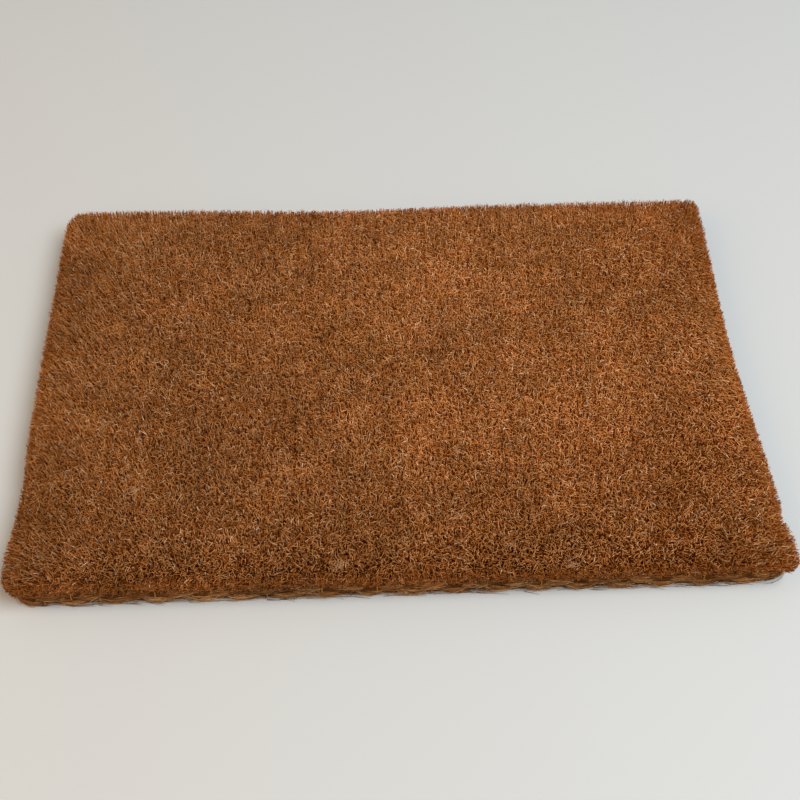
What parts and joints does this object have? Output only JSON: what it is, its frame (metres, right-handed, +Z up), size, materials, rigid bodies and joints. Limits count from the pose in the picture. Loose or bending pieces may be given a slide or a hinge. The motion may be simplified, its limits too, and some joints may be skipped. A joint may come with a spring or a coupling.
{
  "type": "door mat",
  "caption": "Rectangular brush door mat of coconut fibre, with rows of cut pile on a woven ground and a plaited edging sewn round it.",
  "frame": {"origin": "on the floor under the middle of the mat", "axes": "+X along the mat's length, +Y towards its back edge, +Z up through the pile"},
  "size_m": [0.5998, 0.4, 0.03],
  "materials": {
    "coir_pile": "dense upright cut coir fibre, matt, orange-brown with dark gaps and pale tips",
    "coir_yarn": "twisted two-ply coir yarn, matt and hairy",
    "coir_plait": "three-strand plait of loosely twisted coir, matt, with loose fibres",
    "sewing_yarn": "thin twisted coir twine, matt"
  },
  "bodies": {
    "root": {"pile_rows_01": "coir_pile", "pile_rows_02": "coir_pile", "pile_rows_03": "coir_pile", "pile_rows_04": "coir_pile", "pile_rows_05": "coir_pile", "pile_rows_06": "coir_pile", "pile_rows_07": "coir_pile", "pile_rows_08": "coir_pile", "pile_rows_09": "coir_pile", "pile_rows_10": "coir_pile", "pile_rows_11": "coir_pile", "pile_rows_12": "coir_pile", "pile_rows_13": "coir_pile", "pile_rows_14": "coir_pile", "pile_rows_15": "coir_pile", "pile_rows_16": "coir_pile", "pile_rows_17": "coir_pile", "pile_rows_18": "coir_pile", "pile_rows_19": "coir_pile", "pile_rows_20": "coir_pile", "pile_rows_21": "coir_pile", "pile_rows_22": "coir_pile", "pile_rows_23": "coir_pile", "pile_rows_24": "coir_pile", "pile_rows_25": "coir_pile", "pile_rows_26": "coir_pile", "pile_rows_27": "coir_pile", "weft_picks": "coir_yarn", "weft_turns_front": "coir_yarn", "weft_turns_back": "coir_yarn", "tight_warp": "coir_yarn", "binder_warp": "coir_yarn", "warp_knots_left": "coir_yarn", "warp_knots_right": "coir_yarn", "selvedge_cord_front": "coir_yarn", "selvedge_cord_back": "coir_yarn", "heading_cord_left": "coir_yarn", "heading_cord_right": "coir_yarn", "edging_front": "coir_plait", "edging_back": "coir_plait", "edging_left": "coir_plait", "edging_right": "coir_plait", "edging_corner_front_left": "coir_plait", "edging_corner_front_right": "coir_plait", "edging_corner_back_left": "coir_plait", "edging_corner_back_right": "coir_plait", "stitches_front": "sewing_yarn", "stitches_back": "sewing_yarn", "stitches_left": "sewing_yarn", "stitches_right": "sewing_yarn", "join_stitches_front": "sewing_yarn"}
  },
  "joints": []
}
